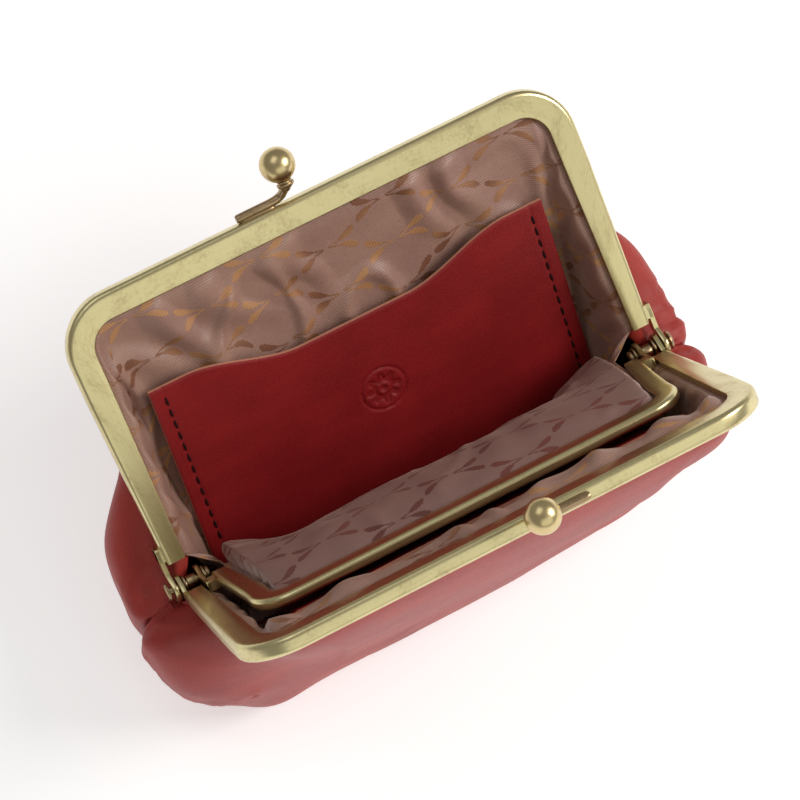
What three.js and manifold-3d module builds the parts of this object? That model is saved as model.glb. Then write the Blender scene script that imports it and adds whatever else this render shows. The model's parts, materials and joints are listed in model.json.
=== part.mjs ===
// A clasp coin purse, standing open on its base. Millimetres, +Z up, +X along the hinge
// line, +Y to the back. The floor is at z = 0 and the hinge line at y = 0.
//
// Three frames turn on the same two rivets: a back and a front frame with the ball
// clasp, and a smaller middle frame that carries the divider. Each frame is a U-shaped
// channel that grips the cloth and a paper cord.
//
// Every frame is drawn upright, in its own plane: x across, z along the legs from the
// hinge line to the rail, y the thickness, positive towards the outside of the purse.

import * as THREE from "three";
import { mergeVertices } from "three/addons/utils/BufferGeometryUtils.js";
import Module from "manifold-3d";

const wasm = await Module();
wasm.setup();

// How the open purse stands
const HINGE_HEIGHT = 38;
const BACK_LEAN = 51.5; // degrees from upright
const FRONT_LEAN = 35;
const MIDDLE_LEAN = 36.5;

// Outer frames: two equal channels
const OUTER = {
  halfWidth: 59.1, // at the rail
  legHalfWidth: 58.0, // at the leg ends
  height: 64.5, // hinge line to the top of the rail
  legEnd: 5.3,
  corner: 12,
  band: 5.8, // width of the flat face
  inner: 0.15, // the flat face stands this far off the closing plane
  thickness: 3.9,
  slotFrom: 1.5,
  slotWidth: 1.5,
  slotFloor: 1.0,
  edge: 0.5,
};

// Middle frame: the same channel, smaller
const MIDDLE = {
  halfWidth: 49.6,
  legHalfWidth: 51.2,
  height: 40,
  legEnd: 5.0,
  corner: 8,
  band: 4.8,
  inner: -1.3,
  thickness: 2.6,
  slotFrom: -0.6,
  slotWidth: 1.2,
  slotFloor: 1.0,
  edge: 0.4,
};
const LEG_TAPER = 0.72; // the band narrows to this share of its width at the leg ends

// Hinges, places given as distances from the middle of the purse along x
const PIN_RADIUS = 0.8;
const BORE_RADIUS = 1.0;
const EAR_RADIUS = 2.8;
const ARM_FOOT = 2.1; // an ear's arm runs from here up to ARM_TOP
const ARM_TOP = 9.5;
const BRIDGE_FOOT = 6.3; // and is tied to the leg from here up
const OUTER_ARM_Y = [0.35, 3.3];
const MIDDLE_ARM_Y = [-1.1, 1.1];
const OUTER_BRIDGE_X = 57.2;
const MIDDLE_BRIDGE_X = 50.3;
const BACK_EAR = [58.3, 59.3];
const FRONT_EAR = [56.9, 57.9];
const MIDDLE_EAR = [52.4, 53.3];
const OUTER_WASHER = [56.1, 56.6];
const SPACER = [53.6, 55.8];
const INNER_WASHER = [51.6, 52.1];
const RIVET = [50.4, 60.9];
const RIVET_HEAD = 0.9;

// Ball clasp. Each ball stands to one side of the middle and leans over the closing
// plane, so that the two pass close by each other.
const BALL_X = { back: -3.1, front: -4.6 };
const BALL_Y = -0.75;
const BALL_HEIGHT = 73.0;
const BALL_RADIUS = 3.8;
const COLLAR = { radius: 1.9, foot: 1.6, height: 1.1 };
const ROD_RADIUS = 0.95;
const ROD_LENGTH = 12;

// Cloth and leather
const LEATHER = 1.2;
const LEATHER_SKIVED = 0.55; // where it enters a channel
const LINING = 0.5;
const TONGUE_INSET = 2.8; // how deep the cloth reaches into the channel
const CORD_RADIUS = 0.4;
const CORD_CLEARANCE = 0.25;
const CORD_START = 5; // the cord ends this far above the leg ends, clear of the ears
const LEATHER_SEAT = 0.42; // middle of the leather from the slot's outer wall
const LINING_SEAT = 0.33; // middle of the lining from the slot's inner wall
const LEATHER_TURN = 1.0; // the leather turns outwards this far past the channel's lips
const LINING_TURN = 1.8;
const CREASE_TAPER = 0.955; // the lining narrows to this share of its width at the crease
const SQUARENESS = 4.5; // exponent of the pouch's outline
const RIM_HEIGHT = 30;
const RIM_GAP = 1.0;
const SIDE_GAP = 4; // the panels stop this far in front of and behind the hinge line

// Pouch outline at a few heights: half length, depth to the front, depth to the back
const POUCH_LEVELS = [
  [0, 55, 16.5, 16],
  [1.2, 58.5, 19.5, 19],
  [5, 62, 22.3, 22.5],
  [13, 65, 24.6, 25.5],
  [22, 67, 26.8, 28],
  [RIM_HEIGHT, 67.3, 28.2, 29.5],
];

// Where each lining ends, outwards and above the hinge line of the open purse: at the
// crease along the bottom, and at the corner below a hinge
const LINING_FOOT = {
  back: { crease: [3.4, -25], corner: [5, -8] },
  front: { crease: [12, -18.5], corner: [5, -8] },
  divider: { crease: [2.5, -23], corner: [1, -6] },
};

// Card pockets, sized for 85.6 x 54 mm cards. Top and bottom are [y, z] in the frame.
const POCKET = {
  back: { top: [3.1, 40.2], bottom: [18.9, -12.5] },
  front: { top: [3.8, 42], bottom: [17.2, -6.7] },
};
const POCKET_WIDTH = 93;
const POCKET_DIP = 6.3; // the thumb cut along the top edge
const POCKET_EDGE_SHARE = 0.09; // the part of the top edge that stays level at each end
const POCKET_FLAT_SHARE = 0.135; // half of the level bottom of the dip

const BRASS = new THREE.MeshStandardMaterial({ color: 0xc9b77c, roughness: 0.35, metalness: 1 });
const DARK_BRASS = new THREE.MeshStandardMaterial({
  color: 0x8a6f45,
  roughness: 0.4,
  metalness: 1,
});
const RED_LEATHER = new THREE.MeshStandardMaterial({ color: 0x9c3b36, roughness: 0.55 });
const POCKET_LEATHER = new THREE.MeshStandardMaterial({ color: 0x8c1c22, roughness: 0.5 });
const JACQUARD = new THREE.MeshStandardMaterial({ color: 0x8f6a62, roughness: 0.6 });
const PAPER = new THREE.MeshStandardMaterial({ color: 0xc8b48a, roughness: 0.9 });

const radians = THREE.MathUtils.degToRad;
const lerp = THREE.MathUtils.lerp;

// ---- Solids and booleans

function toSolid(geometry) {
  const bare = geometry.clone();
  bare.deleteAttribute("normal");
  bare.deleteAttribute("uv");
  const merged = mergeVertices(bare, 1e-4);
  return new wasm.Manifold(
    new wasm.Mesh({
      numProp: 3,
      vertProperties: merged.attributes.position.array,
      triVerts: new Uint32Array(merged.index.array),
    }),
  );
}

function toGeometry(solid) {
  const mesh = solid.getMesh();
  const geometry = new THREE.BufferGeometry();
  geometry.setAttribute("position", new THREE.BufferAttribute(mesh.vertProperties, 3));
  geometry.setIndex(new THREE.BufferAttribute(mesh.triVerts, 1));
  geometry.computeVertexNormals();
  return geometry;
}

function joined(geometries) {
  return toGeometry(geometries.map(toSolid).reduce((sum, next) => sum.add(next)));
}

function cut(body, tools) {
  return toGeometry(tools.map(toSolid).reduce((rest, tool) => rest.subtract(tool), toSolid(body)));
}

function mesh(name, geometry, material) {
  const made = new THREE.Mesh(geometry, material);
  made.name = name;
  return made;
}

function box(x, y, z) {
  const made = new THREE.BoxGeometry(x[1] - x[0], y[1] - y[0], z[1] - z[0]);
  return made.translate((x[0] + x[1]) / 2, (y[0] + y[1]) / 2, (z[0] + z[1]) / 2);
}

// ---- Frames

// The line that lies `inset` inside a frame's outer edge, from the left leg end over the
// rail to the right leg end.
function archPath(frame, inset, legEnd = frame.legEnd) {
  const half = frame.halfWidth - inset;
  const top = frame.height - inset;
  const radius = Math.max(frame.corner - inset, 2);
  const foot = frame.legHalfWidth - inset * LEG_TAPER;
  const bend = top - radius;
  const reach = (z) =>
    lerp(foot, half, Math.min(1, (1.2 * (z - frame.legEnd)) / (bend - frame.legEnd)));
  const steps = 6;
  const left = [];
  for (const share of [0, 0.35, 0.7]) {
    const z = lerp(legEnd, bend, share);
    left.push(new THREE.Vector2(-reach(z), z));
  }
  for (let i = 0; i <= steps; i++) {
    const turn = (i / steps) * (Math.PI / 2);
    left.push(
      new THREE.Vector2(
        -half + radius * (1 - Math.cos(turn)),
        top - radius * (1 - Math.sin(turn)),
      ),
    );
  }
  const right = left.map((p) => new THREE.Vector2(-p.x, p.y)).reverse();
  return left.concat(right);
}

// A band between two insets, extruded through the given range of y.
function archBand(frame, insets, range, legEnd, edge = 0) {
  const outline = archPath(frame, insets[0], legEnd);
  const inside = archPath(frame, insets[1], legEnd).reverse();
  const shape = new THREE.Shape(outline.concat(inside));
  const geometry = new THREE.ExtrudeGeometry(shape, {
    depth: range[1] - range[0] - 2 * edge,
    bevelEnabled: edge > 0,
    bevelThickness: edge,
    bevelSize: edge,
    bevelOffset: -edge,
    bevelSegments: 2,
    curveSegments: 1,
  });
  return geometry.rotateX(Math.PI / 2).translate(0, range[1] - edge, 0);
}

function channel(frame) {
  const body = archBand(
    frame,
    [0, frame.band],
    [frame.inner, frame.inner + frame.thickness],
    frame.legEnd,
    frame.edge,
  );
  const slot = archBand(
    frame,
    [frame.slotFloor, frame.band + 1],
    [frame.slotFrom, frame.slotFrom + frame.slotWidth],
    frame.legEnd - 1,
  );
  return cut(body, [slot]);
}

function ring(outer, inner, range) {
  const shape = new THREE.Shape().absarc(0, 0, outer, 0, Math.PI * 2, false);
  shape.holes.push(new THREE.Path().absarc(0, 0, inner, 0, Math.PI * 2, true));
  const geometry = new THREE.ExtrudeGeometry(shape, {
    depth: range[1] - range[0],
    bevelEnabled: false,
    curveSegments: 7,
  });
  return geometry.rotateY(Math.PI / 2).translate(range[0], 0, 0);
}

// One ear with the arm that carries it up to the leg. `thick` is the arm's reach in y,
// and `bridge` the x range that ties it to the leg.
function ear(range, thick, bridge) {
  return [
    ring(EAR_RADIUS, BORE_RADIUS, range),
    box(range, thick, [ARM_FOOT, ARM_TOP]),
    box(bridge, thick, [BRIDGE_FOOT, ARM_TOP]),
  ];
}

function mirrored(geometries) {
  return geometries.map((g) => g.clone().rotateZ(Math.PI));
}

function frameWithEars(frame, range, thick, bridge) {
  const right = ear(range, thick, bridge);
  const left = mirrored(ear(range, [-thick[1], -thick[0]], bridge));
  return joined([channel(frame), ...right, ...left]);
}

function paperCord(frame) {
  const y = frame.slotFrom + frame.slotWidth / 2;
  const radius = Math.min(CORD_RADIUS, frame.slotWidth / 2 - CORD_CLEARANCE);
  const inset = frame.slotFloor + radius + CORD_CLEARANCE;
  const points = archPath(frame, inset, frame.legEnd + CORD_START);
  const path = new THREE.CurvePath();
  for (let i = 1; i < points.length; i++) {
    path.add(
      new THREE.LineCurve3(
        new THREE.Vector3(points[i - 1].x, y, points[i - 1].y),
        new THREE.Vector3(points[i].x, y, points[i].y),
      ),
    );
  }
  const section = new THREE.Shape().absarc(0, 0, radius, 0, Math.PI * 2, false);
  return new THREE.ExtrudeGeometry(section, {
    extrudePath: path,
    steps: 44,
    curveSegments: 3,
    bevelEnabled: false,
  });
}

// ---- Ball clasp

// A rod that lies along the rail and bends up to the ball.
function knobArm(x) {
  const y = OUTER.inner + OUTER.thickness / 2;
  const rest = OUTER.height + ROD_RADIUS + 0.15;
  const neck = BALL_HEIGHT - BALL_RADIUS;
  const path = new THREE.CatmullRomCurve3([
    new THREE.Vector3(x - ROD_LENGTH, y, rest),
    new THREE.Vector3(x - ROD_LENGTH / 2, y, rest),
    new THREE.Vector3(x - 2.6, y, rest + 0.1),
    new THREE.Vector3(x - 0.6, lerp(BALL_Y, y, 0.75), rest + 1.3),
    new THREE.Vector3(x, BALL_Y, neck - 0.9),
  ]);
  const section = new THREE.Shape().absarc(0, 0, ROD_RADIUS, 0, Math.PI * 2, false);
  const rod = new THREE.ExtrudeGeometry(section, {
    extrudePath: path,
    steps: 12,
    curveSegments: 4,
    bevelEnabled: false,
  });
  const collar = new THREE.CylinderGeometry(COLLAR.radius, COLLAR.foot, COLLAR.height, 16)
    .rotateX(Math.PI / 2)
    .translate(x, BALL_Y, neck - 0.3 - COLLAR.height / 2);
  return joined([rod, collar]);
}

function knobBall(x) {
  return new THREE.SphereGeometry(BALL_RADIUS, 16, 10)
    .rotateX(Math.PI / 2)
    .translate(x, BALL_Y, BALL_HEIGHT);
}

// ---- Sheets: a segmented box whose every vertex is moved onto a curved surface

// `place(u, v)` gives the middle surface for u in -1..1 and v in 0..1, and
// `thickness(v)` the sheet's thickness there.
function sheet(columns, rows, place, thickness) {
  const geometry = new THREE.BoxGeometry(2, 1, 1, columns, rows, 1);
  const position = geometry.attributes.position;
  const step = 1e-3;
  for (let i = 0; i < position.count; i++) {
    const u = position.getX(i);
    const v = 0.5 - position.getY(i);
    const side = position.getZ(i);
    const alongU = place(Math.min(u + step, 1), v).sub(place(Math.max(u - step, -1), v));
    const alongV = place(u, Math.min(v + step, 1)).sub(place(u, Math.max(v - step, 0)));
    const normal = alongV.cross(alongU).normalize();
    const point = place(u, v).addScaledVector(normal, side * thickness(v));
    position.setXYZ(i, point.x, point.y, point.z);
  }
  return geometry;
}

// A point of a path of Vector2, by its share of the path's length.
function pathPoint(path, share) {
  const lengths = [0];
  for (let i = 1; i < path.length; i++) {
    lengths.push(lengths[i - 1] + path[i].distanceTo(path[i - 1]));
  }
  const goal = Math.min(Math.max(share, 0), 1) * lengths.at(-1);
  const i = Math.max(1, lengths.findIndex((length) => length >= goal - 1e-9));
  const part = (goal - lengths[i - 1]) / (lengths[i] - lengths[i - 1]);
  return path[i - 1].clone().lerp(path[i], part);
}

// A point given for the open purse, as distance outwards and height over the hinge line,
// in the upright frame's own y and z.
function openToFrame(lean, outward, height) {
  const angle = radians(lean);
  return {
    y: outward * Math.cos(angle) - height * Math.sin(angle),
    z: outward * Math.sin(angle) + height * Math.cos(angle),
  };
}

function superellipse(angle, halfLength, depth) {
  const power = 2 / SQUARENESS;
  return {
    x: halfLength * Math.sign(Math.cos(angle)) * Math.abs(Math.cos(angle)) ** power,
    y: depth * Math.sign(Math.sin(angle)) * Math.abs(Math.sin(angle)) ** power,
  };
}

const SHEET_ROWS = 8;
const SHEET_COLUMNS = 26;
const TONGUE_SHARE = 1.001 / SHEET_ROWS; // the first row lies in the channel

// A leather panel from the frame's channel out and down to the pouch's rim.
function leatherPanel(lean, rimDepth) {
  const grip = archPath(OUTER, TONGUE_INSET);
  const mouth = archPath(OUTER, OUTER.band + LEATHER_TURN);
  const y = OUTER.slotFrom + OUTER.slotWidth - LEATHER_SEAT;
  const halfLength = POUCH_LEVELS.at(-1)[1] - LEATHER / 2;
  const depth = rimDepth - LEATHER / 2;
  const start = Math.asin((SIDE_GAP / depth) ** (SQUARENESS / 2));
  const place = (u, v) => {
    const share = (u + 1) / 2;
    const inside = pathPoint(grip, share);
    const edge = pathPoint(mouth, share);
    if (v <= TONGUE_SHARE) {
      const p = inside.lerp(edge, v / TONGUE_SHARE);
      return new THREE.Vector3(p.x, y, p.y);
    }
    const s = (v - TONGUE_SHARE) / (1 - TONGUE_SHARE);
    const rim = superellipse(lerp(Math.PI - start, start, share), halfLength, depth);
    const end = openToFrame(lean, rim.y, RIM_HEIGHT + RIM_GAP - HINGE_HEIGHT);
    const swell = 0.25 * s + 0.75 * (1 - (1 - s) ** 2);
    return new THREE.Vector3(
      lerp(edge.x, rim.x, s * s),
      lerp(y, end.y, swell),
      lerp(edge.y, end.z, s),
    );
  };
  const thickness = (v) => (v <= 2 * TONGUE_SHARE ? LEATHER_SKIVED : LEATHER);
  return sheet(SHEET_COLUMNS, SHEET_ROWS, place, thickness);
}

// A lining wall from a frame's channel down to the crease at the bottom. `crease` and
// `corner` are points of the open purse: outwards and height over the hinge line.
function liningPanel(frame, lean, y, crease, corner) {
  const grip = archPath(frame, Math.min(TONGUE_INSET, frame.band - 1.6));
  const mouth = archPath(frame, frame.band + LINING_TURN);
  const topZ = frame.height - frame.band;
  const place = (u, v) => {
    const share = (u + 1) / 2;
    const inside = pathPoint(grip, share);
    const edge = pathPoint(mouth, share);
    if (v <= TONGUE_SHARE) {
      const p = inside.lerp(edge, v / TONGUE_SHARE);
      return new THREE.Vector3(p.x, y, p.y);
    }
    const s = (v - TONGUE_SHARE) / (1 - TONGUE_SHARE);
    const rise = THREE.MathUtils.smoothstep(edge.y, frame.legEnd, topZ * 0.6);
    const end = openToFrame(
      lean,
      lerp(corner[0], crease[0], rise),
      lerp(corner[1], crease[1], rise),
    );
    return new THREE.Vector3(
      lerp(edge.x, edge.x * CREASE_TAPER, s),
      lerp(y, end.y, 0.8 * s + 0.2 * s * s),
      lerp(edge.y, end.z, s),
    );
  };
  return sheet(SHEET_COLUMNS, SHEET_ROWS, place, () => LINING);
}

// ---- Pouch

// The pouch's outer form, closed at the top, drawn in by `inset`.
function pouchForm(inset, floor, top) {
  const levels = POUCH_LEVELS.filter(([z]) => z > floor || z === 0);
  const profile = [new THREE.Vector2(0, floor)];
  for (const [z] of levels) profile.push(new THREE.Vector2(1, Math.max(z, floor)));
  if (top > RIM_HEIGHT) profile.push(new THREE.Vector2(1, top));
  profile.push(new THREE.Vector2(0, top));
  const geometry = new THREE.LatheGeometry(profile, 40).rotateX(Math.PI / 2);
  const position = geometry.attributes.position;
  for (let i = 0; i < position.count; i++) {
    const x = position.getX(i);
    const y = position.getY(i);
    const z = position.getZ(i);
    const reach = Math.hypot(x, y);
    const [halfLength, front, back] = levelAt(z);
    const depth = (y > 0 ? back : front) - inset;
    const p = superellipse(Math.atan2(y, x), halfLength - inset, depth);
    position.setXYZ(i, p.x * reach, p.y * reach, z);
  }
  return geometry;
}

function levelAt(z) {
  const above = POUCH_LEVELS.findIndex((level) => level[0] >= z - 1e-4);
  if (above === 0) return POUCH_LEVELS[0].slice(1);
  if (above < 0) return POUCH_LEVELS.at(-1).slice(1);
  const low = POUCH_LEVELS[above - 1];
  const high = POUCH_LEVELS[above];
  const share = (z - low[0]) / (high[0] - low[0]);
  return [1, 2, 3].map((i) => lerp(low[i], high[i], share));
}

// A fold of lining at each side, below the hinge.
function gusset() {
  const place = (u, v) =>
    new THREE.Vector3(57.5 - 3.5 * v - 1.2 * u * u, 13 * u, 29 - 17 * v);
  return sheet(8, 5, place, () => LINING);
}

// ---- Card pockets

// Level at both ends, with a smooth thumb cut between them.
function pocketTop(x) {
  const share = Math.abs(x) / POCKET_WIDTH;
  const from = POCKET_FLAT_SHARE;
  const to = 0.5 - POCKET_EDGE_SHARE;
  return -POCKET_DIP * (1 - THREE.MathUtils.smoothstep(share, from, to));
}

// `top` and `bottom` are [y, z] in the upright frame.
function cardPocket(top, bottom) {
  const length = Math.hypot(bottom[0] - top[0], bottom[1] - top[1]);
  const half = POCKET_WIDTH / 2;
  const points = [new THREE.Vector2(half, -length), new THREE.Vector2(-half, -length)];
  const steps = 24;
  for (let i = 0; i <= steps; i++) {
    const x = lerp(-half, half, i / steps);
    points.push(new THREE.Vector2(x, pocketTop(x)));
  }
  points.reverse();
  const geometry = new THREE.ExtrudeGeometry(new THREE.Shape(points), {
    depth: LEATHER,
    bevelEnabled: false,
  });
  const slope = Math.atan2(bottom[0] - top[0], top[1] - bottom[1]);
  return geometry
    .translate(0, 0, -LEATHER / 2)
    .rotateX(Math.PI / 2 + slope)
    .translate(0, top[0], top[1]);
}

// ---- Hinge hardware on the right, mirrored for the left

function rivet() {
  const [inner, outer] = RIVET;
  const profile = [
    [0, inner],
    [1.5, inner],
    [1.7, inner + 0.3],
    [1.7, inner + RIVET_HEAD],
    [PIN_RADIUS, inner + RIVET_HEAD],
    [PIN_RADIUS, outer - RIVET_HEAD],
    [2.1, outer - RIVET_HEAD],
    [1.9, outer - 0.4],
    [1.2, outer - 0.1],
    [0, outer],
  ].map(([radius, x]) => new THREE.Vector2(radius, x));
  return new THREE.LatheGeometry(profile, 12).rotateZ(-Math.PI / 2);
}

function hingeHardware(side) {
  const group = new THREE.Group();
  group.position.z = HINGE_HEIGHT;
  if (side === "left") group.rotation.z = Math.PI;
  group.add(
    mesh(`rivet_${side}`, rivet(), DARK_BRASS),
    mesh(`outer_washer_${side}`, ring(2.2, BORE_RADIUS, OUTER_WASHER), DARK_BRASS),
    mesh(`spacer_${side}`, ring(1.5, BORE_RADIUS, SPACER), DARK_BRASS),
    mesh(`inner_washer_${side}`, ring(2.2, BORE_RADIUS, INNER_WASHER), DARK_BRASS),
  );
  return group;
}

// ---- Assembly

function outerHalf(side, lean, rimDepth, lining, pocket) {
  const half = new THREE.Group();
  const earRange = side === "back" ? BACK_EAR : FRONT_EAR;
  const bridge = [Math.min(earRange[0], OUTER_BRIDGE_X), earRange[1]];
  const frame = frameWithEars(OUTER, earRange, OUTER_ARM_Y, bridge);
  const liningY = OUTER.slotFrom + LINING_SEAT;
  half.add(
    mesh(`${side}_frame`, frame, BRASS),
    mesh(`${side}_knob_arm`, knobArm(BALL_X[side]), BRASS),
    mesh(`${side}_knob_ball`, knobBall(BALL_X[side]), BRASS),
    mesh(`${side}_paper_cord`, paperCord(OUTER), PAPER),
    mesh(`leather_${side}_panel`, leatherPanel(lean, rimDepth), RED_LEATHER),
    mesh(
      `lining_${side}_panel`,
      liningPanel(OUTER, lean, liningY, lining.crease, lining.corner),
      JACQUARD,
    ),
    mesh(`${side}_card_pocket`, cardPocket(pocket.top, pocket.bottom), POCKET_LEATHER),
  );
  const leaning = new THREE.Group();
  leaning.position.z = HINGE_HEIGHT;
  leaning.rotation.x = side === "back" ? -radians(lean) : radians(lean);
  if (side === "front") half.rotation.z = Math.PI;
  leaning.add(half);
  return leaning;
}

function middleFrame() {
  const group = new THREE.Group();
  group.position.z = HINGE_HEIGHT;
  group.rotation.x = radians(MIDDLE_LEAN);
  const half = new THREE.Group();
  half.rotation.z = Math.PI;
  const bridge = [MIDDLE_BRIDGE_X, MIDDLE_EAR[1]];
  const { crease, corner } = LINING_FOOT.divider;
  half.add(
    mesh("middle_frame", frameWithEars(MIDDLE, MIDDLE_EAR, MIDDLE_ARM_Y, bridge), BRASS),
    mesh("middle_paper_cord", paperCord(MIDDLE), PAPER),
    mesh("divider", liningPanel(MIDDLE, MIDDLE_LEAN, 0, crease, corner), JACQUARD),
  );
  group.add(half);
  return group;
}

const pouch = cut(pouchForm(0, 0, RIM_HEIGHT), [
  pouchForm(LEATHER, LEATHER, RIM_HEIGHT + 5),
]);

const purse = new THREE.Group();
purse.add(
  mesh("leather_pouch", pouch, RED_LEATHER),
  mesh("lining_gusset_right", gusset(), JACQUARD),
  mesh("lining_gusset_left", gusset().rotateZ(Math.PI), JACQUARD),
  hingeHardware("left"),
  hingeHardware("right"),
  outerHalf("back", BACK_LEAN, POUCH_LEVELS.at(-1)[3], LINING_FOOT.back, POCKET.back),
  outerHalf("front", FRONT_LEAN, POUCH_LEVELS.at(-1)[2], LINING_FOOT.front, POCKET.front),
  middleFrame(),
);

export default purse;
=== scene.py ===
# A clasp coin purse, standing open: the looks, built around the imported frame.
#
# Lengths in this file are millimetres until a mesh is made, which is in metres. Frames
# are described upright, in their own plane, as in the CAD: x across, z along the legs
# from the hinge line to the rail, y outwards from the closing plane.

import json
import math

import bmesh
import bpy
import numpy as np
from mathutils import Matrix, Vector, noise


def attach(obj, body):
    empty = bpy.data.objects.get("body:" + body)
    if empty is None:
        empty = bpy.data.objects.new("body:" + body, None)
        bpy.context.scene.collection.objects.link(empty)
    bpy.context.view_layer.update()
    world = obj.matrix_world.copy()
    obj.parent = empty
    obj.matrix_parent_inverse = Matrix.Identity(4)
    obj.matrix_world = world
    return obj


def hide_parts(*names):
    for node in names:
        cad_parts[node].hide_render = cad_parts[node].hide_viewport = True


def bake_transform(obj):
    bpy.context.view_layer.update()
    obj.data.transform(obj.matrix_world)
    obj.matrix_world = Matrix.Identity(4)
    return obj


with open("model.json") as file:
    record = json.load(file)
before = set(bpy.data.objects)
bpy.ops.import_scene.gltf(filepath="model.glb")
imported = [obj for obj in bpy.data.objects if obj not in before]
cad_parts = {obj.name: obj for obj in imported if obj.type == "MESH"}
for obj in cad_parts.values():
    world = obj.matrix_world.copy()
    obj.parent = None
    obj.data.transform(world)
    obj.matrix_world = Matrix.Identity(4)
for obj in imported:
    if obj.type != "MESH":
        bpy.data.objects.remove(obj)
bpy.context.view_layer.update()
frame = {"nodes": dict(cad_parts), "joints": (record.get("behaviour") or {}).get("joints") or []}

MM = 0.001

# ---- Sizes, as in the CAD

HINGE_HEIGHT = 38.0
LEAN = {j["child"]: j["range_deg"][1] for j in frame["joints"]}
SIDE = {"back_half": 1.0, "front_half": -1.0, "middle_half": -1.0}

OUTER = dict(half=59.1, foot=58.0, height=64.5, leg_end=5.3, corner=12.0, band=5.8,
             inner=0.15, thick=3.9, slot_from=1.5, slot_width=1.5, slot_floor=1.0)
MIDDLE = dict(half=49.6, foot=51.2, height=40.0, leg_end=5.0, corner=8.0, band=4.8,
              inner=-1.3, thick=2.6, slot_from=-0.6, slot_width=1.2, slot_floor=1.0)
LEG_TAPER = 0.72

BACK_EAR = (58.3, 59.3)
FRONT_EAR = (56.9, 57.9)
MIDDLE_EAR = (52.4, 53.3)
EAR_RADIUS = 2.8

BALL_X = {"back_half": -3.1, "front_half": -4.6}
BALL_Y = -0.75
BALL_HEIGHT = 73.0
BALL_RADIUS = 3.8
ROD_RADIUS = 0.95
ROD_LENGTH = 12.0

LEATHER = 1.2
POUCH_LEVELS = [
    (0.0, 55.0, 16.5, 16.0),
    (1.2, 58.5, 19.5, 19.0),
    (5.0, 62.0, 22.3, 22.5),
    (13.0, 65.0, 24.6, 25.5),
    (22.0, 67.0, 26.8, 28.0),
    (30.0, 67.3, 28.2, 29.5),
]
SQUARENESS = 4.5

POCKET_WIDTH = 93.0
POCKET_DIP = 6.3
BACK_POCKET = ((3.1, 40.2), (18.9, -12.5))
FRONT_POCKET = ((3.8, 42.0), (17.2, -6.7))


# ---- Small numeric helpers

def lerp(a, b, t):
    return a + (b - a) * t


def smoothstep(a, b, x):
    t = np.clip((np.asarray(x, float) - a) / (b - a), 0, 1)
    return t * t * (3 - 2 * t)


def ridge(x, centre, width):
    """A smooth bump of height 1 round `centre`."""
    return np.exp(-(((np.asarray(x, float) - centre) / width) ** 2))


def to_world(points, body):
    """Points (..., 3) of an upright frame, in the row frame's millimetres."""
    points = np.asarray(points, float)
    lean, side = math.radians(LEAN[body]), SIDE[body]
    x, y, z = points[..., 0], points[..., 1], points[..., 2]
    outward = y * math.cos(lean) + z * math.sin(lean)
    height = -y * math.sin(lean) + z * math.cos(lean)
    return np.stack([side * x, side * outward, HINGE_HEIGHT + height], -1)


def open_to_frame(lean, outward, height):
    """A point of the open purse, outwards and above the hinge line, as upright (y, z)."""
    a = math.radians(lean)
    return (outward * math.cos(a) - height * math.sin(a),
            outward * math.sin(a) + height * math.cos(a))


LEG_STEPS, ARC_STEPS, HALF_RAIL_STEPS = 14, 14, 11


def arch_path(shape, inset):
    """The line `inset` inside a frame's outer edge, from the left leg end over the rail
    to the right leg end, as an array of (x, z)."""
    half = shape["half"] - inset
    top = shape["height"] - inset
    radius = max(shape["corner"] - inset, 2)
    foot = shape["foot"] - inset * LEG_TAPER
    bend = top - radius
    left = []
    for i in range(LEG_STEPS):
        z = lerp(shape["leg_end"], bend, i / LEG_STEPS)
        reach = min(1, 1.2 * (z - shape["leg_end"]) / (bend - shape["leg_end"]))
        left.append((-lerp(foot, half, reach), z))
    for i in range(ARC_STEPS + 1):
        turn = i / ARC_STEPS * math.pi / 2
        left.append((-half + radius * (1 - math.cos(turn)),
                     top - radius * (1 - math.sin(turn))))
    corner_x = left[-1][0]
    for i in range(1, HALF_RAIL_STEPS):
        left.append((corner_x * (1 - i / HALF_RAIL_STEPS), top))
    right = [(-x, z) for x, z in left[::-1]]
    return np.array(left + [(0.0, top)] + right)


def resample(path, count):
    """`count` points at equal steps along a polyline."""
    steps = np.linalg.norm(np.diff(path, axis=0), axis=1)
    at = np.concatenate([[0], np.cumsum(steps)])
    goal = np.linspace(0, at[-1], count)
    return np.stack([np.interp(goal, at, path[:, i]) for i in range(path.shape[1])], -1)


def smooth_rows(grid, times, lock=()):
    """Evens out a grid along its first axis, its end rows and the locked rows fixed."""
    for _ in range(times):
        new = grid.copy()
        new[1:-1] = 0.25 * grid[:-2] + 0.5 * grid[1:-1] + 0.25 * grid[2:]
        for row in lock:
            new[row] = grid[row]
        grid = new
    return grid


def grid_normals(grid):
    across = np.gradient(grid, axis=1)
    down = np.gradient(grid, axis=0)
    n = np.cross(down, across)
    return n / np.maximum(np.linalg.norm(n, axis=-1, keepdims=True), 1e-9)


def noise_field(points, scale, seed):
    """Smooth noise at an array of points, from -1 to 1."""
    flat = points.reshape(-1, 3) * scale + np.array([seed * 7.31, seed * 3.77, seed * 5.13])
    values = np.array([noise.noise(Vector(p)) for p in flat])
    return values.reshape(points.shape[:-1])


# ---- Meshes

def new_object(name, mesh, material, body=None):
    obj = bpy.data.objects.new(name, mesh)
    bpy.context.scene.collection.objects.link(obj)
    for m in material if isinstance(material, list) else [material]:
        mesh.materials.append(m)
    mesh.shade_smooth()
    if body:
        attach(obj, body)
    return obj


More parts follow.
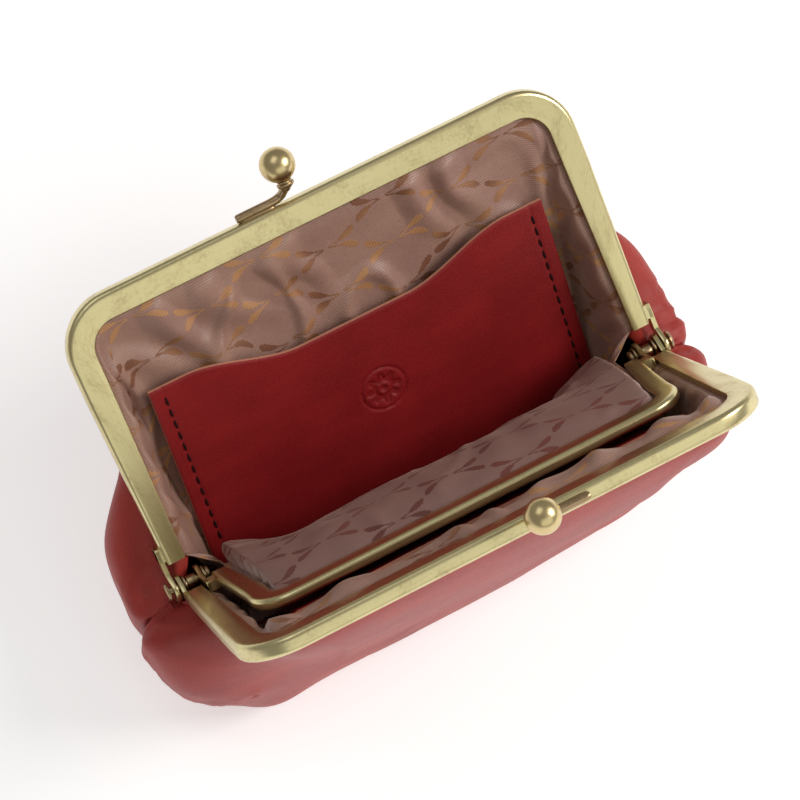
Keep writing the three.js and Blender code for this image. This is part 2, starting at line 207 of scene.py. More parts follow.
def grid_mesh(name, grid, uv=None, close_rows=False, close_columns=False, caps=False):
    """A mesh of quads over a (rows, columns, 3) array of millimetre points. UVs are in
    millimetres, so that every weave and grain has its real scale."""
    rows, columns = grid.shape[:2]
    verts = [tuple(p) for p in grid.reshape(-1, 3) * MM]
    faces, loops = [], []
    for i in range(rows if close_rows else rows - 1):
        for j in range(columns if close_columns else columns - 1):
            i2, j2 = (i + 1) % rows, (j + 1) % columns
            faces.append((i * columns + j, i * columns + j2, i2 * columns + j2, i2 * columns + j))
            loops.append((i, j, i + 1, j + 1))
    if caps:
        for j in (0, columns - 1):
            ring_ids = [i * columns + j for i in range(rows)]
            faces.append(tuple(ring_ids if j == 0 else ring_ids[::-1]))
    mesh = bpy.data.meshes.new(name)
    mesh.from_pydata(verts, [], faces)
    if uv is None:
        uv = arc_uv(grid, close_rows, close_columns)
    layer = mesh.uv_layers.new(name="UVMap").data
    k = 0
    for n, polygon in enumerate(mesh.polygons):
        if n < len(loops):
            i, j, i2, j2 = loops[n]
            for a, b in ((i, j), (i, j2), (i2, j2), (i2, j)):
                layer[k].uv = uv[a, b]
                k += 1
        else:
            for vertex in polygon.vertices:
                layer[k].uv = uv[vertex // columns, vertex % columns]
                k += 1
    mesh.validate()
    return mesh


def arc_uv(grid, close_rows=False, close_columns=False):
    """Millimetre lengths along the rows and down the columns, one spare row and column
    for closed grids."""
    g = grid
    if close_rows:
        g = np.concatenate([g, g[:1]], 0)
    if close_columns:
        g = np.concatenate([g, g[:, :1]], 1)
    across = np.linalg.norm(np.diff(g, axis=1), axis=-1)
    u = np.concatenate([np.zeros((g.shape[0], 1)), np.cumsum(across, 1)], 1)
    u = u - u[:, g.shape[1] // 2][:, None]
    down = np.linalg.norm(np.diff(g, axis=0), axis=-1)
    v = np.concatenate([np.zeros((1, g.shape[1])), np.cumsum(down, 0)], 0)
    return np.stack([u, v], -1)


def apply_modifiers(obj):
    graph = bpy.context.evaluated_depsgraph_get()
    mesh = bpy.data.meshes.new_from_object(obj.evaluated_get(graph))
    obj.modifiers.clear()
    old, obj.data = obj.data, mesh
    bpy.data.meshes.remove(old)


def thicken(obj, thickness, offset=-1.0):
    """Gives a sheet its thickness: inwards from its face, or about its middle at offset 0."""
    solid = obj.modifiers.new("thick", "SOLIDIFY")
    solid.thickness = thickness * MM
    solid.offset = offset
    apply_modifiers(obj)


def sweep_grid(path, radius, sides, taper, beside=(0.0, 1.0, 0.02)):
    """Rings round a 3-D path that never runs along `beside`, `taper` times the radius at
    each point: a (sides, points, 3) grid."""
    tangent = np.gradient(path, axis=0)
    tangent /= np.linalg.norm(tangent, axis=1, keepdims=True)
    side = np.cross(tangent, beside)
    side /= np.linalg.norm(side, axis=1, keepdims=True)
    up = np.cross(side, tangent)
    rings = []
    for k in range(sides):
        a = 2 * math.pi * k / sides
        rings.append(path + (math.cos(a) * side + math.sin(a) * up) * (radius * taper)[:, None])
    return np.array(rings)


def lathe_grid(profile, sides=40):
    """(radius, height) points turned about z: a (sides, points, 3) grid."""
    profile = np.asarray(profile, float)
    rings = []
    for k in range(sides):
        a = 2 * math.pi * k / sides
        rings.append(np.stack([profile[:, 0] * math.cos(a), profile[:, 0] * math.sin(a),
                               profile[:, 1]], -1))
    return np.array(rings)


def joined_mesh(name, meshes):
    """One mesh of several, their UVs kept."""
    made = bmesh.new()
    for mesh in meshes:
        made.from_mesh(mesh)
        bpy.data.meshes.remove(mesh)
    bmesh.ops.remove_doubles(made, verts=made.verts, dist=1e-7)
    bmesh.ops.recalc_face_normals(made, faces=made.faces)
    mesh = bpy.data.meshes.new(name)
    made.to_mesh(mesh)
    made.free()
    return mesh


# ---- Materials

class Nodes:
    """A short way to write a material's node tree."""

    def __init__(self, name):
        self.material = bpy.data.materials.new(name)
        self.material.use_nodes = True
        self.tree = self.material.node_tree
        self.shader = self.tree.nodes["Principled BSDF"]
        self.uv = self.add("ShaderNodeUVMap").outputs[0]

    def add(self, kind, **settings):
        node = self.tree.nodes.new(kind)
        for key, value in settings.items():
            setattr(node, key, value)
        return node

    def link(self, source, socket):
        if isinstance(source, (int, float, tuple)):
            socket.default_value = source
        else:
            self.tree.links.new(source, socket)

    def math(self, operation, a, b=0.0, clamp=False):
        node = self.add("ShaderNodeMath", operation=operation, use_clamp=clamp)
        self.link(a, node.inputs[0])
        self.link(b, node.inputs[1])
        return node.outputs[0]

    def add_(self, a, b):
        return self.math("ADD", a, b)

    def sub(self, a, b):
        return self.math("SUBTRACT", a, b)

    def mul(self, a, b):
        return self.math("MULTIPLY", a, b)

    def step(self, low, high, value, out=(0.0, 1.0)):
        """A smooth step from out[0] to out[1]."""
        node = self.add("ShaderNodeMapRange", interpolation_type="SMOOTHSTEP")
        for i, x in enumerate((value, low, high, out[0], out[1])):
            self.link(x, node.inputs[i])
        return node.outputs[0]

    def mix(self, factor, a, b):
        node = self.add("ShaderNodeMix", data_type="RGBA")
        self.link(factor, node.inputs[0])
        self.link(a if not isinstance(a, tuple) else (*a, 1.0), node.inputs[6])
        self.link(b if not isinstance(b, tuple) else (*b, 1.0), node.inputs[7])
        return node.outputs[2]

    def scaled(self, x, y):
        node = self.add("ShaderNodeMapping")
        self.link(self.uv, node.inputs[0])
        node.inputs[3].default_value = (x, y, 1.0)
        return node.outputs[0]

    def noise(self, vector, scale, detail=2.0, rough=0.5):
        node = self.add("ShaderNodeTexNoise")
        self.link(vector, node.inputs["Vector"])
        node.inputs["Scale"].default_value = scale
        node.inputs["Detail"].default_value = detail
        node.inputs["Roughness"].default_value = rough
        return node.outputs[0]

    def cells(self, vector, scale, feature="DISTANCE_TO_EDGE"):
        node = self.add("ShaderNodeTexVoronoi", feature=feature)
        self.link(vector, node.inputs["Vector"])
        node.inputs["Scale"].default_value = scale
        return node.outputs[0]

    def bump(self, height, strength, distance):
        node = self.add("ShaderNodeBump")
        node.inputs["Strength"].default_value = strength
        node.inputs["Distance"].default_value = distance * MM
        self.link(height, node.inputs["Height"])
        return node.outputs[0]

    def set(self, **values):
        names = {"colour": "Base Color", "rough": "Roughness", "metal": "Metallic",
                 "normal": "Normal", "sheen": "Sheen Weight", "sheen_rough": "Sheen Roughness",
                 "sheen_tint": "Sheen Tint", "coat": "Coat Weight", "coat_rough": "Coat Roughness",
                 "specular": "Specular IOR Level", "aniso": "Anisotropic"}
        for key, value in values.items():
            if isinstance(value, tuple) and len(value) == 3:
                value = (*value, 1.0)
            self.link(value, self.shader.inputs[names[key]])
        return self.material


def leather_material(name, deep, light, roughness):
    n = Nodes(name)
    grain = n.cells(n.uv, 2.1)
    pores = n.cells(n.uv, 5.5, "F1")
    warp = n.noise(n.uv, 0.9, 4, 0.6)
    patches = n.noise(n.uv, 0.045, 3, 0.55)
    streaks = n.noise(n.scaled(0.02, 0.16), 1.0, 3, 0.5)
    tone = n.step(0.25, 0.75, n.add_(n.mul(patches, 0.65), n.mul(streaks, 0.35)))
    colour = n.mix(tone, deep, light)
    furrow = n.step(0.0, 0.22, grain)
    colour = n.mix(n.mul(n.sub(1.0, furrow), 0.22), colour, tuple(0.5 * c for c in deep))
    height = n.add_(n.mul(furrow, 0.5), n.add_(n.mul(warp, 0.5), n.mul(pores, 0.25)))
    rough = n.step(0.2, 0.8, n.add_(n.mul(warp, 0.6), n.mul(patches, 0.4)),
                   (roughness - 0.06, roughness + 0.08))
    return n.set(colour=colour, rough=rough, normal=n.bump(height, 0.35, 0.10),
                 specular=0.32, coat=0.05, coat_rough=0.35)


def cut_edge_material():
    n = Nodes("leather_cut_edge")
    fibres = n.noise(n.scaled(1.2, 6.0), 2.0, 4, 0.6)
    colour = n.mix(fibres, (0.45, 0.14, 0.085), (0.68, 0.34, 0.22))
    return n.set(colour=colour, rough=0.75, normal=n.bump(fibres, 0.5, 0.12))


# The jacquard's figure is a lattice of sprigs: nodes joined by slanting stems, with two
# leaves on each stem, their round ends towards each other. Folding the cloth's own
# coordinates at the lattice's mirror lines leaves one stem to draw.
LATTICE = (14.9, 5.6)
STEM_LENGTH = math.hypot(*LATTICE)
LEAF_GAP, LEAF_REACH, LEAF_WIDTH = 0.55, 4.9, 0.82  # from the stem's middle
STEM_WIDTH = 0.16


def folded(n, value, period):
    """Distance to the nearest multiple of twice the period."""
    turned = n.math("FLOORED_MODULO", n.add_(value, period), 2 * period)
    return n.math("ABSOLUTE", n.sub(turned, period))


def sprig_mask(n, u, v):
    """1 inside the leaves and stems."""
    fu, fv = folded(n, u, LATTICE[0]), folded(n, v, LATTICE[1])
    c, s = LATTICE[0] / STEM_LENGTH, LATTICE[1] / STEM_LENGTH
    along = n.sub(n.add_(n.mul(fu, c), n.mul(fv, s)), STEM_LENGTH / 2)
    across = n.add_(n.mul(fu, -s), n.mul(fv, c))
    bend = n.mul(n.math("SINE", n.mul(along, 2 * math.pi / STEM_LENGTH)), 0.55)
    across = n.math("ABSOLUTE", n.sub(across, bend))
    reach = n.math("ABSOLUTE", along)
    t = n.math("MULTIPLY", n.sub(reach, LEAF_GAP), 1.0 / LEAF_REACH, clamp=True)
    leaf = n.mul(n.math("POWER", t, 0.5), n.math("POWER", n.sub(1.0, t), 1.0))
    stem = n.mul(n.step(LEAF_GAP, LEAF_GAP + 0.6, reach), STEM_WIDTH)
    stem = n.mul(stem, n.step(STEM_LENGTH / 2 - 0.5, STEM_LENGTH / 2 - 0.9, reach))
    width = n.math("MAXIMUM", n.mul(leaf, 2.6 * LEAF_WIDTH), stem)
    return n.step(-0.05, 0.07, n.sub(width, across))


def jacquard_material(name, ground, shade, leaf, leaf_shade):
    """Satin ground with fine twill ribs, and a woven sprig pattern in a second colour."""
    n = Nodes(name)
    split = n.add("ShaderNodeSeparateXYZ")
    n.link(n.uv, split.inputs[0])
    u, v = split.outputs[0], split.outputs[1]
    step_u = n.mul(n.sub(n.noise(n.scaled(1.1, 4.0), 1.0, 2, 0.5), 0.5), 0.9)
    step_v = n.mul(n.sub(n.noise(n.scaled(3.0, 1.4), 1.0, 2, 0.5), 0.5), 0.7)
    pattern = sprig_mask(n, n.add_(u, step_u), n.add_(v, step_v))
    rib = n.math("SINE", n.mul(n.add_(n.mul(u, 0.10), v), 2 * math.pi / 0.52))
    thread = n.math("SINE", n.mul(u, 2 * math.pi / 0.60))
    fuzz = n.noise(n.scaled(0.5, 3.0), 1.5, 4, 0.7)
    wash = n.noise(n.uv, 0.07, 3, 0.5)
    tone = n.step(0.3, 0.7, n.add_(n.mul(wash, 0.5), n.mul(fuzz, 0.5)))
    base = n.mix(tone, shade, ground)
    base = n.mix(n.step(-1.0, 1.0, rib, (0.0, 0.38)), base, tuple(0.5 * c for c in shade))
    patch = n.noise(n.uv, 0.05, 2, 0.5)
    figure = n.mix(n.step(0.38, 0.58, patch), leaf_shade, leaf)
    figure = n.mix(n.step(-1.0, 1.0, thread, (0.0, 0.30)), figure, leaf_shade)
    colour = n.mix(pattern, base, figure)
    rough = n.step(0.0, 1.0, pattern, (0.40, 0.55))
    height = n.add_(n.mul(rib, 0.35), n.add_(n.mul(thread, 0.2), n.mul(pattern, 1.2)))
    return n.set(colour=colour, rough=rough, normal=n.bump(height, 0.6, 0.05),
                 sheen=0.25, sheen_rough=0.35, sheen_tint=(0.9, 0.72, 0.6), specular=0.4,
                 aniso=0.35)


def brass_material(name, bright, dull, roughness, brushed=1.0):
    """Antique brass: brushed along its length, with darker, rougher patches of patina."""
    n = Nodes(name)
    lines = n.noise(n.scaled(0.02, 7.0), 1.0, 4, 0.65)
    fine = n.noise(n.scaled(0.06, 30.0), 1.0, 2, 0.5)
    cloud = n.noise(n.uv, 0.14, 4, 0.6)
    spots = n.noise(n.uv, 1.3, 3, 0.6)
    patina = n.step(0.45, 0.72, n.add_(n.mul(cloud, 0.6), n.mul(spots, 0.4)))
    colour = n.mix(n.mul(patina, 0.55), bright, dull)
    colour = n.mix(n.step(0.5, 0.72, lines, (0.0, 0.22)), colour, dull)
    rough = n.add_(n.mul(patina, 0.10), n.add_(n.mul(lines, 0.10 * brushed), roughness))
    height = n.add_(n.mul(lines, 0.7), n.mul(fine, 0.3))
    return n.set(colour=colour, rough=rough, metal=1.0, aniso=0.35 * brushed,
                 normal=n.bump(height, 0.10 * brushed, 0.03))


def thread_material():
    n = Nodes("stitch_thread")
    ply = n.math("SINE", n.mul(n.noise(n.scaled(5.0, 5.0), 1.0, 1, 0.3), 18.0))
    colour = n.mix(n.step(-1.0, 1.0, ply), (0.006, 0.0015, 0.002), (0.028, 0.006, 0.007))
    return n.set(colour=colour, rough=0.75, normal=n.bump(ply, 0.4, 0.05), specular=0.15)


def paper_material():
    n = Nodes("paper_cord")
    fibre = n.noise(n.scaled(0.5, 6.0), 2.0, 4, 0.6)
    return n.set(colour=n.mix(fibre, (0.42, 0.30, 0.16), (0.62, 0.50, 0.32)), rough=0.9,
                 normal=n.bump(fibre, 0.5, 0.1))


RED_LEATHER = leather_material("red_leather", (0.29, 0.017, 0.014), (0.46, 0.050, 0.036), 0.46)
POCKET_LEATHER = leather_material("pocket_leather", (0.20, 0.005, 0.007), (0.32, 0.010, 0.012),
                                  0.50)
CUT_EDGE = cut_edge_material()
# The lining is one jacquard in two copies that differ only by how light falls: the rear copy,
# lighter with golden leaves, is the cloth painted as lit; the divider copy, darker in ground and
# leaves, is painted shade.
LIT_REAR_CLOTH = jacquard_material("jacquard_rear_lit", (0.46, 0.27, 0.20), (0.31, 0.16, 0.13),
                               (0.50, 0.25, 0.11), (0.20, 0.075, 0.04))
SHADED_DIVIDER_CLOTH = jacquard_material("jacquard_divider_shaded", (0.33, 0.185, 0.155), (0.27, 0.145, 0.125),
                                  (0.205, 0.062, 0.050), (0.14, 0.045, 0.038))
BRASS = brass_material("antique_brass", (0.68, 0.59, 0.32), (0.36, 0.25, 0.12), 0.24)
DARK_BRASS = brass_material("dark_brass", (0.42, 0.30, 0.17), (0.15, 0.09, 0.05), 0.28)
BALL_BRASS = brass_material("ball_brass", (0.68, 0.54, 0.28), (0.36, 0.23, 0.10), 0.27, 0.3)
THREAD = thread_material()
PAPER = paper_material()


# ---- Frames

def rounded(corner, start, end, radius, steps):
    """A corner of a section, rounded: from the side of `start` to the side of `end`."""
    corner = np.array(corner, float)
    a = (np.array(start, float) - corner) / np.linalg.norm(np.array(start, float) - corner)
    b = (np.array(end, float) - corner) / np.linalg.norm(np.array(end, float) - corner)
    centre = corner + (a + b) * radius
    out = []
    for i in range(steps + 1):
        t = i / steps * math.pi / 2
        out.append(tuple(centre - b * radius * math.cos(t) - a * radius * math.sin(t)))
    return out


def channel_section(shape, edge):
    """The channel's closed outline, as (inset, y) points: flat flanges, a rounded back
    and a slot that opens inwards."""
    low, high = shape["inner"], shape["inner"] + shape["thick"]
    slot_low = shape["slot_from"]
    slot_high = slot_low + shape["slot_width"]
    band, floor = shape["band"], shape["slot_floor"]
    lip = 0.24
    points = []
    points += rounded((band, slot_low), (floor, slot_low), (band, low), lip, 3)
    points += rounded((band, low), (band, slot_low), (0, low), lip, 3)
    points += [(band * 0.66, low), (edge + 0.5, low)]
    points += rounded((0, low), (band, low), (0, high), edge, 7)
    points += rounded((0, high), (0, low), (band, high), edge, 7)
    points += [(band * 0.6, high)]
    points += rounded((band, high), (0, high), (band, slot_high), lip, 3)
    points += rounded((band, slot_high), (band, high), (floor, slot_high), min(lip, 0.2), 3)
    points += [(floor, slot_high), (floor, slot_low)]
    return points


def channel_mesh(name, shape, body, edge):
    rows = []
    for inset, y in channel_section(shape, edge):
        path = arch_path(shape, inset)
        rows.append(np.stack([path[:, 0], np.full(len(path), y), path[:, 1]], -1))
    grid = to_world(np.array(rows), body)
    return grid_mesh(name, grid, close_rows=True, caps=True)


def plate_mesh(name, outline, x_range, body, bevel=0.16):
    """A flat plate: a closed (y, z) outline given thickness between two x values."""
    outline = np.array(outline, float)
    centre = outline.mean(0)
    rows = []
    low, high = x_range
    for x, shrink in ((low, bevel), (low + bevel * 0.35, bevel * 0.3), (low + bevel, 0),
                      (high - bevel, 0), (high - bevel * 0.35, bevel * 0.3), (high, bevel)):
        away = outline - centre
        length = np.linalg.norm(away, axis=1, keepdims=True)
        ring = centre + away * (1 - shrink / length)
        rows.append(np.stack([np.full(len(ring), x), ring[:, 0], ring[:, 1]], -1))
    grid = to_world(np.array(rows), body)
    mesh = grid_mesh(name, grid, close_columns=True)
    made = bmesh.new()
    made.from_mesh(mesh)
    made.verts.ensure_lookup_table()
    count = len(outline)
    made.faces.new([made.verts[i] for i in range(count)][::-1])
    made.faces.new([made.verts[len(made.verts) - count + i] for i in range(count)])
    bmesh.ops.recalc_face_normals(made, faces=made.faces)
    made.to_mesh(mesh)
    made.free()
    return mesh


def ear_outline(low, high, top):
    """A round eye at the hinge line with an arm, from y `low` to `high`, up to z `top`."""
    points = []
    for i in range(25):
        a = math.radians(lerp(150, 395, i / 24))
        points.append((EAR_RADIUS * math.cos(a), EAR_RADIUS * math.sin(a)))
    waist = 3.6
    points += [(high, waist), (high, top - 0.3), (high - 0.3, top), (low + 0.3, top),
               (low, top - 0.3), (low, waist)]
    return points


def build_frame(prefix, shape, body, ear_range, arm, edge):
    """The channel with an ear at each hinge, in one piece that stands for the CAD node."""
    meshes = [channel_mesh("channel", shape, body, edge)]
    for sign in (1, -1):
        x_range = sorted((sign * ear_range[0], sign * ear_range[1]))
        meshes.append(plate_mesh("ear", ear_outline(arm[0], arm[1], 9.4), x_range, body))
        reach = sorted((sign * min(ear_range[0], shape["foot"] - 1.6), sign * ear_range[1]))
        bridge = [(arm[0], 6.2), (arm[1], 6.2), (arm[1], 9.4), (arm[0], 9.4)]
        fine = resample(np.array(bridge + bridge[:1]), 17)[:-1]
        meshes.append(plate_mesh("bridge", fine, reach, body))
    mesh = joined_mesh(prefix + "_frame_channel", meshes)
    obj = new_object(prefix + "_frame_channel", mesh, BRASS, body)
    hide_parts(prefix + "_frame")
    sharpen(obj)


def sharpen(obj, degrees=32):
    """Smooth shading that keeps the crisp edges of metal."""
    made = bmesh.new()
    made.from_mesh(obj.data)
    limit = math.radians(degrees)
    for edge in made.edges:
        if len(edge.link_faces) == 2 and edge.calc_face_angle(0) > limit:
            edge.smooth = False
    made.to_mesh(obj.data)
    made.free()


build_frame("back", OUTER, "back_half", BACK_EAR, (0.35, 3.3), 1.15)
build_frame("front", OUTER, "front_half", FRONT_EAR, (0.35, 3.3), 1.15)
build_frame("middle", MIDDLE, "middle_half", MIDDLE_EAR, (-1.1, 1.1), 1.05)


# ---- Ball clasp

def curve_through(points, count):
    """A smooth curve through points by Catmull-Rom."""
    p = np.array([points[0]] + list(points) + [points[-1]], float)
    out = []
    per = max(2, count // (len(points) - 1))
    for i in range(1, len(p) - 2):
        for k in range(per):
            t = k / per
            out.append(0.5 * ((2 * p[i]) + (-p[i - 1] + p[i + 1]) * t
                              + (2 * p[i - 1] - 5 * p[i] + 4 * p[i + 1] - p[i + 2]) * t * t
                              + (-p[i - 1] + 3 * p[i] - 3 * p[i + 1] + p[i + 2]) * t ** 3))
    out.append(p[-2])
    return np.array(out)


def build_knob(prefix, body):
    x = BALL_X[body]
    y = OUTER["inner"] + OUTER["thick"] / 2
    rest = OUTER["height"] + ROD_RADIUS + 0.05
    neck = BALL_HEIGHT - BALL_RADIUS
    path = curve_through([
        (x - ROD_LENGTH, y, rest),
        (x - ROD_LENGTH * 0.6, y, rest),
        (x - 3.4, y, rest + 0.05),
        (x - 1.5, lerp(BALL_Y, y, 0.9), rest + 0.55),
        (x - 0.35, lerp(BALL_Y, y, 0.45), rest + 1.9),
        (x, lerp(BALL_Y, y, 0.08), neck - 1.2),
        (x, BALL_Y, neck + 0.6),
    ], 60)
    ends = np.ones(len(path))
    ends[0] = 0.80
    ends[1] = 0.94
    rod = grid_mesh("rod", to_world(sweep_grid(path, ROD_RADIUS, 24, ends), body),
                    close_rows=True, caps=True)
    solder_path = np.array([(at, y, OUTER["height"] - 0.1)
                            for at in np.linspace(x - ROD_LENGTH + 0.3, x - 3.2, 16)])
    bead = 0.95 * np.sqrt(np.clip(1 - np.linspace(-1, 1, 16) ** 6, 0.02, 1))
    solder = grid_mesh("solder", to_world(sweep_grid(solder_path, 0.85, 14, bead), body),
                       close_rows=True, caps=True)
    collar_profile = [(0.0, -1.55), (1.05, -1.5), (1.35, -1.25), (1.75, -0.95), (1.92, -0.6),
                      (1.85, -0.3), (1.55, -0.12), (1.5, 0.1), (1.6, 0.3), (0.0, 0.4)]
    collar = lathe_grid(collar_profile, 32)
    collar = collar + np.array([x, BALL_Y, neck])
    mesh = joined_mesh(prefix + "_knob_rod", [
        rod, solder, grid_mesh("collar", to_world(collar, body), close_rows=True)])
    arm = new_object(prefix + "_knob_rod", mesh, DARK_BRASS, body)
    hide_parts(prefix + "_knob_arm")
    sharpen(arm, 40)
    profile = []
    for i in range(33):
        a = -math.pi / 2 + math.pi * i / 32
        worn = 1.0 - 0.012 * ridge(a, math.pi / 2, 0.35)
        profile.append((BALL_RADIUS * math.cos(a) * worn, BALL_RADIUS * math.sin(a) * worn))
    ball = lathe_grid(profile, 56) + np.array([x, BALL_Y, BALL_HEIGHT])
    mesh = joined_mesh(prefix + "_ball", [grid_mesh("ball", to_world(ball, body), close_rows=True)])
    knob = new_object(prefix + "_ball", mesh, BALL_BRASS, body)
    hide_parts(prefix + "_knob_ball")


build_knob("back", "back_half")
build_knob("front", "front_half")


# ---- Hinge hardware

RIVET = (50.4, 60.9)
RIVET_PROFILE = [
    (0.0, 0.0), (0.9, 0.02), (1.35, 0.12), (1.62, 0.32), (1.7, 0.6), (1.66, 0.9), (0.8, 0.92),
    (0.8, 5.2), (0.8, 9.58), (1.95, 9.6), (2.1, 9.72), (2.08, 9.95), (1.85, 10.2), (1.4, 10.38),
    (0.8, 10.47), (0.0, 10.5),
]
WASHERS = {"outer_washer": (56.1, 56.6, 2.2), "spacer": (53.6, 55.8, 1.5),
           "inner_washer": (51.6, 52.1, 2.2)}


def washer_profile(low, high, radius, bore=0.95):
    soft = 0.14
    return [(bore, low), (radius - soft, low), (radius - 0.3 * soft, low + 0.3 * soft),
            (radius, low + soft), (radius, high - soft),
            (radius - 0.3 * soft, high - 0.3 * soft), (radius - soft, high), (bore, high)]


def turned_piece(name, profile, sign, node):
    """A lathe piece about the hinge pin: profile of (radius, distance from the middle)."""
    grid = lathe_grid(profile, 36)
    turned = np.stack([sign * grid[..., 2], grid[..., 0], grid[..., 1] + HINGE_HEIGHT], -1)
    mesh = joined_mesh(name, [grid_mesh(name, turned, close_rows=True)])
    obj = new_object(name, mesh, DARK_BRASS, "bag")
    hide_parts(node)
    sharpen(obj, 38)


for side_name, sign in (("left", -1), ("right", 1)):
    turned_piece(f"pin_{side_name}", [(r, RIVET[0] + z) for r, z in RIVET_PROFILE], sign,
                 f"rivet_{side_name}")
    for kind, (low, high, radius) in WASHERS.items():
        turned_piece(f"{kind}_turned_{side_name}", washer_profile(low, high, radius), sign,
                     f"{kind}_{side_name}")


# ---- Leather body: a front and a back panel, sewn at the sides and along the base

LEATHER_COLUMNS = 190
SEAM_TOP = (61.6, 0.0, 34.4)      # where the side seam ends, under the hinge
SEAM_SHOULDER = (57.4, 0.5, 34.2)  # the leather's free edge between seam and leg
RAIL_RISE, LEG_RISE = 0.28, 0.85  # how far up the belly stays upright, under rail and legs
LEFT_SEAM_DRIFT = -1.4


def superellipse(half_length, depth, count):
    """Half of a rounded rectangle, from its left end round to its right, evenly spaced."""
    angle = np.linspace(math.pi, 0, 721)
    power = 2 / SQUARENESS
    c, s = np.cos(angle), np.sin(angle)
    curve = np.stack([half_length * np.sign(c) * np.abs(c) ** power,
                      depth * np.clip(s, 0, 1) ** power], -1)
    return resample(curve, count)


def pouch_outline(z, body, count):
    """The pouch's outer half outline at a height, in world millimetres."""
    table = np.array(POUCH_LEVELS)
    half = np.interp(z, table[:, 0], table[:, 1])
    depth = np.interp(z, table[:, 0], table[:, 3 if body == "back_half" else 2])
    curve = superellipse(half, depth, count)
    side = SIDE[body]
    return np.stack([side * curve[:, 0], side * curve[:, 1], np.full(count, float(z))], -1)


def leather_edges(body, count):
    """The leather's top edge with its buried end, and which way it sets off from the
    channel. Beyond the legs the edge is free and runs down to the side seam."""
    side = SIDE[body]
    y0 = OUTER["slot_from"] + OUTER["slot_width"] - 0.02
    lines = []
    for inset in (2.8, OUTER["band"] + 0.5):
        path = arch_path(OUTER, inset)
        lines.append(to_world(np.stack([path[:, 0], np.full(len(path), y0), path[:, 1]], -1),
                              body))
    grip, mouth = lines
    ends = []
    for sign in (-side, side):
        top = np.array([sign * SEAM_TOP[0], 0.0, SEAM_TOP[2]])
        shoulder = np.array([sign * SEAM_SHOULDER[0], side * SEAM_SHOULDER[1],
                             SEAM_SHOULDER[2]])
        ends.append(np.array([top, shoulder]))
    tuck = np.array([0.0, 0.0, -1.6])
    edge = np.concatenate([ends[0], mouth, ends[1][::-1]])
    buried = np.concatenate([ends[0] + tuck, grip, (ends[1] + tuck)[::-1]])
    steps = np.linalg.norm(np.diff(edge, axis=0), axis=1)
    at = np.concatenate([[0], np.cumsum(steps)]) / steps.sum()
    share = np.linspace(0, 1, count)
    pick = [np.stack([np.interp(share, at, line[:, k]) for k in range(3)], -1)
            for line in (edge, buried)]
    free = 1 - smoothstep(at[1], at[2], share) * smoothstep(at[-2], at[-3], share)
    away = to_world(np.array([[0.0, 1.0, 0.0]]), body) - to_world(np.zeros((1, 3)), body)
    inward = pick[0] - pick[1]
    inward /= np.linalg.norm(inward, axis=1, keepdims=True)
    outside = np.stack([np.sign(pick[0][:, 0]) * 2.5, np.zeros(count), np.full(count, -1.0)], -1)
    off = lerp(inward * 1.0 + away * 6.0, outside, free[:, None])
    return pick[0], pick[1], off


def leather_grid(body):
    """The panel's outer face: rows from the channel over the belly and under to the base
    seam, columns from one side seam to the other."""
    count = LEATHER_COLUMNS
    edge, buried, off = leather_edges(body, count)
    rim_z = POUCH_LEVELS[-1][0]
    rim = pouch_outline(rim_z, body, count)
    by_leg = smoothstep(42, 52, np.abs(edge[:, 0]))
    rise = np.clip(lerp(RAIL_RISE, LEG_RISE, by_leg) * (edge[:, 2] - rim_z), 1.0, 26.0)
    p1 = edge + off
    p2 = np.stack([rim[:, 0], lerp(rim[:, 1], edge[:, 1], 0.34), rim[:, 2] + rise], -1)
    p2[:, 1] += SIDE[body] * 1.5 * smoothstep(20, 40, edge[:, 2] - rim_z)
    rows = [buried, lerp(buried, edge, 0.5)]
    for s in np.linspace(0, 1, 34)[:-1]:
        rows.append((1 - s) ** 3 * edge + 3 * (1 - s) ** 2 * s * p1
                    + 3 * (1 - s) * s ** 2 * p2 + s ** 3 * rim)
    for z in np.linspace(rim_z, 0, 30):
        rows.append(pouch_outline(z, body, count))
    base = rows[-1]
    for t in np.linspace(0, 1, 9)[1:]:
        rows.append(base * np.array([1 - 0.04 * t, 1 - t, 0.0]))
    grid = smooth_rows(np.array(rows), 5, lock=(0, 1, 2))
    grid[..., 2] = np.maximum(grid[..., 2], 0.0)
    return grid


def settle(grid):
    """How this purse has settled: leaning a little to the left, its left front corner full
    and its right front corner slack, with a deep fold along each side seam."""
    x, y, z = grid[..., 0], grid[..., 1], grid[..., 2]
    out = grid.copy()
    low = smoothstep(46, 26, z)
    out[..., 0] -= 1.3 * low
    full = ridge(x, -62, 15) * ridge(y, -10, 10) * ridge(z, 24, 14)
    slack = smoothstep(0, 50, x) * smoothstep(-10, -22, y) * low
    tucked = ridge(x, -64, 12) * ridge(y, -18, 9) * smoothstep(24, 8, z)
    toe = ridge(x, -48, 10) * smoothstep(-12, -22, y) * smoothstep(25, 6, z)
    shoulder = ridge(np.abs(x), 60, 13) * ridge(y, 25, 13) * ridge(z, 43, 12)
    out[..., 0] += -0.9 * full - 1.4 * slack * smoothstep(45, 60, x) + 2.8 * tucked
    out[..., 0] += shoulder * np.where(x > 0, 3.2, -0.4 - 1.6 * smoothstep(42, 52, z))
    out[..., 1] += 1.9 * slack + 1.0 * tucked - 2.0 * toe + 0.9 * shoulder
    puff = ridge(x, 54, 9) * ridge(y, -34, 9) * ridge(z, 66, 11)
    out[..., 0] += 2.4 * puff
    out[..., 1] -= 2.2 * puff
    side = smoothstep(48, 58, np.abs(x))
    out[..., 1] += LEFT_SEAM_DRIFT * ridge(y, 0, 7) * smoothstep(-40, -55, x) * smoothstep(2, 12, z)
    deep = smoothstep(3, 20, z) * smoothstep(40, 33, z)
    valley = 2.6 * np.exp(-np.abs(y) / 1.1) * deep
    lips = 0.9 * ridge(y, -4.2, 2.6) + 0.4 * ridge(y, 4.5, 3.0)
    out[..., 0] -= np.sign(x) * side * (valley - lips * deep)
    return out


